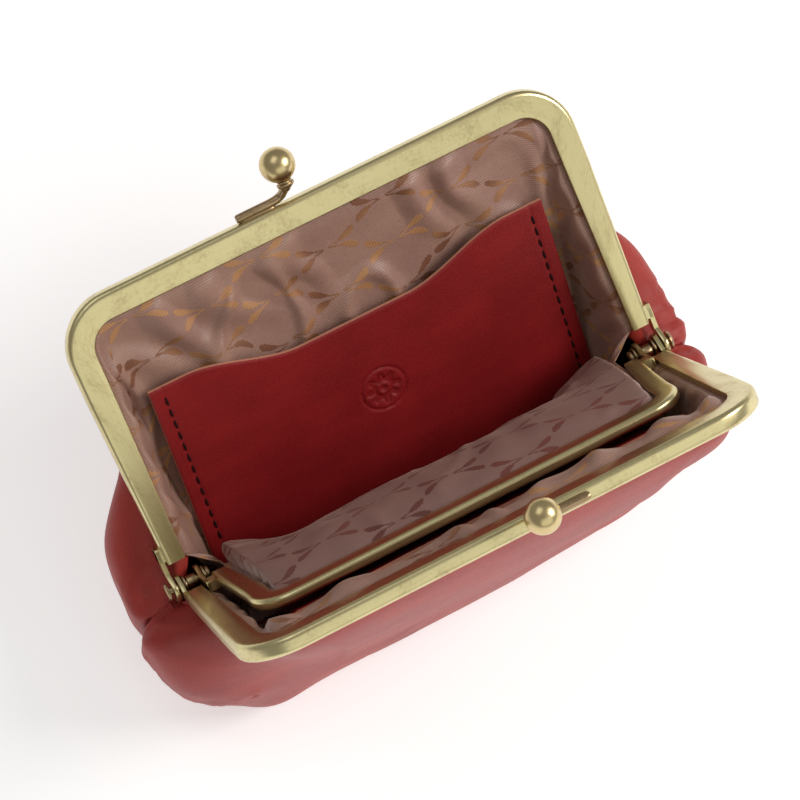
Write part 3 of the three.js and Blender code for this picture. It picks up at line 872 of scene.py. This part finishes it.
CREASES = [  # from, to, depth, half width
    ((-62, 3, 36), (-68, 9, 29), 0.42, 0.9),
    ((-62, 5, 38), (-68, 14, 34), 0.30, 0.8),
    ((-63, -3, 33), (-69, -6, 20), 0.50, 1.0),
    ((-64, -7, 32), (-69, -11, 19), 0.28, 0.8),
    ((-60, -15, 34), (-66, -18, 20), 0.30, 0.7),
    ((-58, -19, 33), (-62, -23, 19), 0.36, 0.7),
    ((-56, -20, 34), (-58, -26, 20), 0.30, 0.6),
    ((-53, -22, 34), (-54, -28, 22), 0.24, 0.6),
    ((-67, 0, 14), (-58, -22, 3), 0.35, 1.6),
    ((62, 4, 36), (68, 8, 28), 0.40, 0.9),
    ((62, 8, 39), (67, 16, 32), 0.25, 0.9),
    ((63, -3, 33), (67, -6, 20), 0.45, 1.0),
    ((58, -17, 32), (61, -23, 19), 0.40, 0.9),
    ((53, -20, 33), (52, -27, 20), 0.30, 0.9),
    ((66, -2, 13), (55, -21, 3), 0.35, 1.8),
    ((30, -28, 30), (48, -23, 6), 0.30, 2.2),
    ((-12, -30, 24), (-30, -24, 6), 0.22, 2.4),
]


def segment_distance(points, start, end):
    """Distance to a segment, and how far along it the nearest point lies."""
    start, end = np.array(start, float), np.array(end, float)
    span = end - start
    t = np.clip((points - start) @ span / (span @ span), 0, 1)
    return np.linalg.norm(points - (start + t[..., None] * span), axis=-1), t


def wrinkle(grid, seed):
    """Soft undulation and the creases, along the surface's normal."""
    outward = -grid_normals(grid)
    z = grid[..., 2]
    amount = 0.50 * noise_field(grid, 0.028, seed) + 0.14 * noise_field(grid, 0.10, seed + 3)
    wander = 1.6 * noise_field(grid, 0.12, seed + 5)
    for start, end, depth, width in CREASES:
        distance, t = segment_distance(grid, start, end)
        distance = np.abs(distance + wander * 0.5)
        fade = np.sin(math.pi * np.clip(t * 0.9 + 0.08, 0, 1)) ** 0.7
        amount += 1.9 * fade * depth * (0.5 * ridge(distance, 2.1 * width, width)
                                        - ridge(distance, 0, width))
    free = smoothstep(2, 9, np.arange(grid.shape[0]))[:, None] * smoothstep(0.0, 3.0, z)
    return grid + outward * (amount * free)[..., None]


def build_leather(body, prefix, nodes, seed):
    grid = wrinkle(settle(leather_grid(body)), seed)
    obj = new_object(f"leather_{prefix}", grid_mesh(f"leather_{prefix}", grid), RED_LEATHER)
    thicken(obj, LEATHER)
    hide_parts(*nodes)
    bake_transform(obj)


build_leather("back_half", "back", ["leather_back_panel", "leather_pouch"], 3.0)
build_leather("front_half", "front", ["leather_front_panel"], 5.0)


# ---- Lining walls and the divider: cloth let into the channels, gathered and slack

WALL_COLUMNS, WALL_ROWS, SIDE_STEPS, KEEL_STEPS = 200, 84, 20, 8
CLOTH = 0.3
MID_CORNER = 21      # the point of arch_path() halfway round a corner
KEEL = (0.0, -26.0, -15.0)  # outwards, and height in the middle and at the sides


class Wall:
    """A wall of cloth hung from a channel, with a narrow piece down each leg. Its foot lies
    at `crease` in the middle and `corner` at the sides, both outwards and above the hinge
    line; it bellies inwards by `belly` in the middle and at the sides, rolls out of the
    channel by `lip` and over its flange by `puff`, and is `foot` times as wide at its
    foot as at the rail."""

    def __init__(self, name, shape, body, y0, crease, corner, corner_from, belly, lip, puff,
                 foot):
        self.name, self.shape, self.body, self.y0 = name, shape, body, y0
        self.crease, self.corner, self.corner_from = crease, corner, corner_from
        self.belly, self.lip, self.puff, self.foot = belly, lip, puff, foot

    def upright(self, line):
        return np.stack([line[:, 0], np.full(len(line), self.y0), line[:, 1]], -1)

    def main_grid(self):
        """Two rows in the channel, then down to the foot and along to the keel."""
        span = slice(MID_CORNER, -MID_CORNER)
        band = self.shape["band"]
        grip = resample(arch_path(self.shape, min(2.8, band - 1.6))[span], WALL_COLUMNS)
        mouth = resample(arch_path(self.shape, band + 0.3)[span], WALL_COLUMNS)
        inward = mouth - grip
        inward /= np.linalg.norm(inward, axis=1, keepdims=True)
        half = np.abs(mouth[:, 0]).max()
        side = smoothstep(self.corner_from, half, np.abs(mouth[:, 0]))
        lean = LEAN[self.body]
        foot_y, foot_z = open_to_frame(lean, lerp(self.crease[0], self.corner[0], side),
                                       lerp(self.crease[1], self.corner[1], side))
        keel_y, keel_z = open_to_frame(lean, KEEL[0], lerp(KEEL[1], KEEL[2], side))
        rows = [self.upright(grip), self.upright(lerp(grip, mouth, 0.55))]
        for s in np.linspace(0, 1, WALL_ROWS):
            bow = math.sin(math.pi * s ** 0.8) * lerp(self.belly[0], self.belly[1], side)
            roll = (1 - math.exp(-s * 24)) * math.exp(-s * 8) / 0.46
            rows.append(np.stack([
                lerp(mouth[:, 0], mouth[:, 0] * self.foot, s) + inward[:, 0] * self.lip * roll,
                lerp(self.y0, foot_y, s) - bow - self.puff * roll,
                lerp(mouth[:, 1], foot_z, s) + inward[:, 1] * self.lip * roll], -1))
        for t in np.linspace(0, 1, KEEL_STEPS)[1:]:
            rows.append(np.stack([mouth[:, 0] * self.foot, lerp(foot_y, keel_y, t),
                                  lerp(foot_z, keel_z, t)], -1))
        return np.array(rows)

    def side_grid(self, edge, left):
        """The piece down one leg: rows along the leg, columns from the channel across to
        the main piece's edge."""
        band = self.shape["band"]
        lines = []
        for path in (arch_path(self.shape, min(2.8, band - 1.6)),
                     arch_path(self.shape, band + 0.3)):
            path = path[:MID_CORNER + 1][::-1]
            path = resample(path, WALL_ROWS) * np.array([1.0 if left else -1.0, 1.0])
            lines.append(self.upright(path))
        grip, lip = lines
        edge = edge[2:2 + WALL_ROWS]
        gap = np.linalg.norm(edge - lip, axis=1, keepdims=True)
        into = np.array([1.0 if left else -1.0, 0.0, 0.0])
        out_of = np.array([0.0, 1.0, 0.0])
        reach = np.minimum(gap, 9.0) / 9.0
        p1 = lip + (into * 3.2 - out_of * 0.9) * reach
        p2 = lerp(lip, edge, 0.45) + (out_of * 0.4 - into * 1.2) * reach
        columns = [grip, lerp(grip, lip, 0.55)]
        for t in np.linspace(0, 1, SIDE_STEPS):
            columns.append((1 - t) ** 3 * lip + 3 * (1 - t) ** 2 * t * p1
                           + 3 * (1 - t) * t ** 2 * p2 + t ** 3 * edge)
        return np.array(columns).transpose(1, 0, 2)


def gather(grid, seed, puckers, waves):
    """Puckers that fan out from the channel, and broad slack further down."""
    steps = np.linalg.norm(np.diff(grid, axis=0), axis=-1)
    depth = np.concatenate([np.zeros((1, grid.shape[1])), np.cumsum(steps, 0)], 0)
    along = np.cumsum(np.linalg.norm(np.diff(grid[2], axis=0, prepend=grid[2][:1]), axis=-1))
    wander = noise_field(grid, 0.05, seed)
    fan = np.sin(along * 0.36 + 5.5 * wander - 0.10 * depth)
    fan = fan * smoothstep(2.5, 6, depth) * smoothstep(30, 9, depth)
    fold = ridge(noise_field(grid * np.array([1.0, 1.0, 0.7]), 0.055, seed + 4), 0.0, 0.10)
    slack = noise_field(grid, 0.045, seed + 7)
    small = noise_field(grid, 0.16, seed + 9)
    free = smoothstep(2.5, 8.0, depth)
    shift = puckers * fan + (waves * (slack - 0.8 * fold) + 0.22 * small) * free
    out = grid.copy()
    out[..., 1] += np.minimum(shift, lerp(0.0, 0.7, smoothstep(3.0, 12.0, depth)))
    return out


def pucker_side(grid, seed, amount):
    """Small gathers across the piece down a leg, held at its edges."""
    hold = np.sin(np.linspace(0, 1, grid.shape[1]) * math.pi) ** 0.8
    hold[:2] = 0
    rows = np.arange(grid.shape[0])[:, None]
    ripple = np.sin(rows * 0.42 + 2.5 * noise_field(grid, 0.07, seed))
    out = grid.copy()
    free = hold * smoothstep(4, 16, rows)
    out[..., 0] += amount * ripple * free
    out[..., 1] += 0.8 * amount * noise_field(grid, 0.12, seed + 2) * free
    return out


def build_wall(wall, cloth, node, seed, puckers, waves, behind=None):
    """The cloth as one piece; returns the free edges by the hinges, left and right."""
    main = gather(wall.main_grid(), seed, puckers, waves)
    if behind is not None:
        main[..., 1] = np.maximum(main[..., 1], behind(main))
    meshes, free_edges = [grid_mesh("main", to_world(main, wall.body))], []
    for left in (True, False):
        side = wall.side_grid(main[:, 0 if left else -1], left)
        side = to_world(pucker_side(side, seed + left, 0.35), wall.body)
        if not left:
            side = side[:, ::-1]
        meshes.append(grid_mesh("side", side[:, ::-1]))
        free_edges.append(side[-1, 2:] if left else side[-1, :-2][::-1])
    obj = new_object(wall.name, joined_mesh(wall.name, meshes), cloth, wall.body)
    thicken(obj, CLOTH, 0.0)
    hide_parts(node)
    return obj, free_edges


def behind_pocket(place):
    """The least y' that keeps cloth behind a pocket's plane."""
    (top_y, top_z), (bottom_y, bottom_z) = place

    def least(grid):
        t = (grid[..., 2] - top_z) / (bottom_z - top_z)
        plane = lerp(top_y, bottom_y, t) + 0.85
        over = (np.abs(grid[..., 0]) < POCKET_WIDTH / 2 + 1) & (t > -0.08) & (t < 1.0)
        return np.where(over, plane, -1e9)

    return least


REAR_WALL = Wall("rear_lining", OUTER, "back_half", OUTER["slot_from"] + CLOTH / 2,
                 (3.4, -25), (3.4, -20), 36, (0.0, -1.5), 0.5, 0.3, 0.90)
FRONT_WALL = Wall("front_lining", OUTER, "front_half", OUTER["slot_from"] + CLOTH / 2,
                  (12, -18.5), (8, -14), 36, (0.6, -0.8), 1.2, 2.6, 0.90)
DIVIDER = Wall("divider_cloth", MIDDLE, "middle_half", 0.0,
               (0.0, -22), (-4.5, -2.5), 18, (8.6, 2.6), 0.3, 0.2, 1.03)

rear, rear_edges = build_wall(REAR_WALL, LIT_REAR_CLOTH, "lining_back_panel", 11, 1.0, 1.9,
                              behind_pocket(BACK_POCKET))
front, front_edges = build_wall(FRONT_WALL, LIT_REAR_CLOTH, "lining_front_panel", 23, 0.9, 1.0,
                                behind_pocket(FRONT_POCKET))
# The divider wears the darker copy of the lining cloth: painted shade.
divider, divider_edges = build_wall(DIVIDER, SHADED_DIVIDER_CLOTH, "divider", 31, 0.2, 0.55)


# ---- Gussets: between the walls the lining folds in, in a V, under each hinge

GUSSET_ROWS = 36
FOLD_TOPS = {"back_half": (47.4, 1.2, 37.6), "middle_half": (47.4, 1.2, 37.6),
             "front_half": (51.0, -1.0, 34.0)}
FOLD_FOOT = (44.5, 0.5, 17.0)


def build_gusset(sign, prefix, body, edge):
    """One leaf of a side fold: from a wall's free edge, in world points, to the fold."""
    count = len(edge)
    top = np.linspace(0, 1, count)
    fold = lerp(np.array(FOLD_TOPS[body]), np.array(FOLD_FOOT), top[:, None]) * [sign, 1, 1]
    s = np.linspace(0, 1, GUSSET_ROWS)[:, None, None]
    grid = lerp(edge[None], fold[None], s)
    swell = np.sin(np.pi * s[..., 0])
    pleat = np.sin(top * 15 + 2.0 * sign)[None, :] * swell ** 0.6
    lift = smoothstep(0, 0.2, top)[None, :]
    grid[..., 0] += lift * (-sign * 0.9 * swell + 0.35 * pleat)
    grid[..., 2] += lift * (1.3 * swell + 0.3 * pleat)
    grid[..., 0] += 0.5 * swell * noise_field(grid, 0.15, 3 + sign)
    name = f"gusset_{prefix}_{'right' if sign > 0 else 'left'}"
    obj = new_object(name, grid_mesh(name, grid), LIT_REAR_CLOTH)
    thicken(obj, CLOTH, 0.0)
    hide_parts(f"lining_gusset_{'right' if sign > 0 else 'left'}")
    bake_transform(obj)
    return obj


for prefix, body, wall, edges, held, frame_node in (
        ("rear", "back_half", rear, rear_edges, "gathered", "back_frame"),
        ("middle", "middle_half", divider, divider_edges, "hung", "middle_frame"),
        ("front", "front_half", front, front_edges, "gathered", "front_frame")):
    for edge in edges:
        build_gusset(1 if edge[0, 0] > 0 else -1, prefix, body, edge)


# ---- Card pockets

def pocket_top(x):
    share = np.abs(x) / POCKET_WIDTH
    return -POCKET_DIP * (1 - smoothstep(0.135, 0.41, share))


STITCH_INSET, STITCH_PITCH, STITCH_LENGTH, STITCH_RADIUS = 3.0, 3.05, 2.3, 0.24
ROSETTE_PETALS = 8
ROSETTE_SCALE = 0.8


def rosette_depth(x, z):
    """A plain generic rosette, pressed into the leather: petals round a ring."""
    r = np.hypot(x, z) / ROSETTE_SCALE
    a = np.arctan2(z, x)
    petal = 5.2 * (0.55 + 0.45 * np.abs(np.cos(a * ROSETTE_PETALS / 2))) - r
    inner = r - 1.7
    petals = smoothstep(0.0, 0.35, petal) * smoothstep(0.0, 0.35, inner)
    vein = 1 - 0.75 * ridge(np.sin(a * ROSETTE_PETALS / 2), 0, 0.12) * smoothstep(1.5, 2.2, r)
    eye = 1 - smoothstep(0.8, 1.15, r)
    ring_mark = ridge(r, 6.4, 0.28)
    return np.maximum(np.maximum(petals * vein, eye), ring_mark)


def build_pocket(name, body, place, node, rosette=None):
    (top_y, top_z), (bottom_y, bottom_z) = place
    length = math.hypot(bottom_y - top_y, bottom_z - top_z)
    along = np.array([(bottom_y - top_y) / length, (bottom_z - top_z) / length])
    outward = np.array([-along[1], along[0]])  # away from the purse's middle
    half = POCKET_WIDTH / 2
    columns, rows = 245, 140
    x = np.linspace(-half, half, columns)
    top = -pocket_top(x)
    depth = lerp(top[None, :], length, np.linspace(0, 1, rows)[:, None])
    xx = np.broadcast_to(x, depth.shape)

    def at(dent, lift):
        """The pocket's surface, `lift` outwards of its middle and `dent` further."""
        y = top_y + depth * along[0] + outward[0] * (lift + dent)
        z = top_z + depth * along[1] + outward[1] * (lift + dent)
        return np.stack([xx, y, z], -1)

    edge = np.minimum(np.minimum(half - np.abs(xx), depth - top[None, :]), 9)
    soft = 0.22 * (1 - smoothstep(0, 0.45, edge))
    groove = 0.16 * ridge(np.abs(xx), half - STITCH_INSET, 0.35)
    bow = 0.5 * np.sin(np.pi * np.clip(depth / length, 0, 1)) * np.cos(np.pi * xx / POCKET_WIDTH)
    mark = 0.0
    if rosette is not None:
        mark = 0.34 * rosette_depth(xx - rosette[0], depth - rosette[1])
    front = at(soft + groove + mark - bow, -LEATHER / 2)
    back = at(-soft - bow, LEATHER / 2)
    front_w, back_w = to_world(front, body), to_world(back, body)
    uv = np.stack([xx, depth], -1)
    front_mesh = grid_mesh("front", front_w, uv)
    back_mesh = grid_mesh("back", back_w[:, ::-1], uv[:, ::-1])
    rim_lines = []
    for pick in (np.s_[0, :], np.s_[:, -1], np.s_[-1, ::-1], np.s_[::-1, 0]):
        rim_lines.append(np.array([front_w[pick], lerp(front_w[pick], back_w[pick], 0.5),
                                   back_w[pick]]))
    rims = [grid_mesh("rim", line[::-1]) for line in rim_lines]
    for rim in rims:
        rim.materials.append(POCKET_LEATHER)
        rim.materials.append(CUT_EDGE)
        for polygon in rim.polygons:
            polygon.material_index = 1
    for mesh in (front_mesh, back_mesh):
        mesh.materials.append(POCKET_LEATHER)
        mesh.materials.append(CUT_EDGE)
    mesh = joined_mesh(name, [front_mesh, back_mesh] + rims)
    obj = new_object(name, mesh, [POCKET_LEATHER, CUT_EDGE], body)
    sharpen(obj, 50)
    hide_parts(node)
    # Stitches down both sides
    pieces = []
    for edge_x in (-half + STITCH_INSET, half - STITCH_INSET):
        s = 2.6
        while s + STITCH_LENGTH < length - 1.0:
            n = 9
            t = np.linspace(0, 1, n)
            d = s + STITCH_LENGTH * t
            lift = -LEATHER / 2 - 0.12 + 0.42 * (np.abs(2 * t - 1) ** 3)
            p = np.stack([np.full(n, edge_x) + 0.12 * (t - 0.5),
                          top_y + d * along[0] + outward[0] * lift,
                          top_z + d * along[1] + outward[1] * lift], -1)
            p[:, 0] += 1e-4 * t
            girth = 0.55 + 0.45 * np.sin(np.pi * t)
            rings = sweep_grid(p, STITCH_RADIUS, 8, girth, (1.0, 0.0, 0.0))
            pieces.append(grid_mesh("stitch", to_world(rings, body), close_rows=True, caps=True))
            s += STITCH_PITCH
    mesh = joined_mesh(name + "_stitches", pieces)
    new_object(name + "_stitches", mesh, THREAD, body)


build_pocket("rear_pocket", "back_half", BACK_POCKET, "back_card_pocket", rosette=(0.8, 25.0))
build_pocket("front_pocket", "front_half", FRONT_POCKET, "front_card_pocket")


# ---- Carried-over CAD nodes

for cord_name in ("back_paper_cord", "front_paper_cord", "middle_paper_cord"):
    cord = frame["nodes"][cord_name]
    cord.data.materials.clear()
    cord.data.materials.append(PAPER)


# ---- Camera, floor and light

CAMERA_AZIMUTH, CAMERA_ELEVATION, CAMERA_DISTANCE = 28.44, 68.8, 900.0
FOCAL_SHARE = 5.3148  # focal length over picture width
SHIFT = (-0.02695, 0.0811)
FLOOR_GLOW = 0.48


def build_camera():
    a, e = math.radians(CAMERA_AZIMUTH), math.radians(CAMERA_ELEVATION)
    forward = Vector((math.sin(a) * math.cos(e), math.cos(a) * math.cos(e), -math.sin(e)))
    data = bpy.data.cameras.new("camera")
    data.sensor_width = 36.0
    data.lens = FOCAL_SHARE * 36.0
    data.shift_x, data.shift_y = SHIFT
    data.clip_start, data.clip_end = 0.05, 20.0
    camera = bpy.data.objects.new("camera", data)
    bpy.context.scene.collection.objects.link(camera)
    camera.location = Vector((0, 0, HINGE_HEIGHT * MM)) - forward * (CAMERA_DISTANCE * MM)
    camera.rotation_euler = forward.to_track_quat("-Z", "Y").to_euler()
    bpy.context.scene.camera = camera


def build_floor():
    mesh = bpy.data.meshes.new("floor")
    made = bmesh.new()
    bmesh.ops.create_grid(made, x_segments=2, y_segments=2, size=3.0)
    made.to_mesh(mesh)
    made.free()
    n = Nodes("floor")
    floor = bpy.data.objects.new("floor", mesh)
    bpy.context.scene.collection.objects.link(floor)
    n.link((1.0, 1.0, 1.0, 1.0), n.shader.inputs["Emission Color"])
    n.link(FLOOR_GLOW, n.shader.inputs["Emission Strength"])
    mesh.materials.append(n.set(colour=(0.80, 0.80, 0.80), rough=0.9, specular=0.1))


def area_light(name, location, target, size, power, colour=(1, 1, 1)):
    data = bpy.data.lights.new(name, "AREA")
    data.shape = "RECTANGLE"
    data.size, data.size_y = size
    data.energy = power
    data.color = colour
    light = bpy.data.objects.new(name, data)
    bpy.context.scene.collection.objects.link(light)
    light.location = location
    aim = Vector(target) - Vector(location)
    light.rotation_euler = aim.to_track_quat("-Z", "Y").to_euler()


def build_world():
    world = bpy.data.worlds.new("studio")
    world.use_nodes = True
    background = world.node_tree.nodes["Background"]
    background.inputs[0].default_value = (1.0, 0.99, 0.96, 1.0)
    background.inputs[1].default_value = 0.28
    bpy.context.scene.world = world


build_camera()
build_floor()
build_world()
TARGET = (0.0, 0.0, 0.045)
area_light("key", (0.75, -0.30, 0.75), TARGET, (0.55, 0.45), 7.0, (1.0, 0.985, 0.96))
area_light("front_panel", (0.0, -1.0, 0.62), TARGET, (1.3, 0.8), 2.4, (0.96, 1.0, 0.93))
area_light("overhead", (-0.25, 0.35, 1.15), TARGET, (0.8, 0.6), 1.5, (0.97, 0.98, 1.0))
bpy.context.scene.view_settings.view_transform = "Standard"
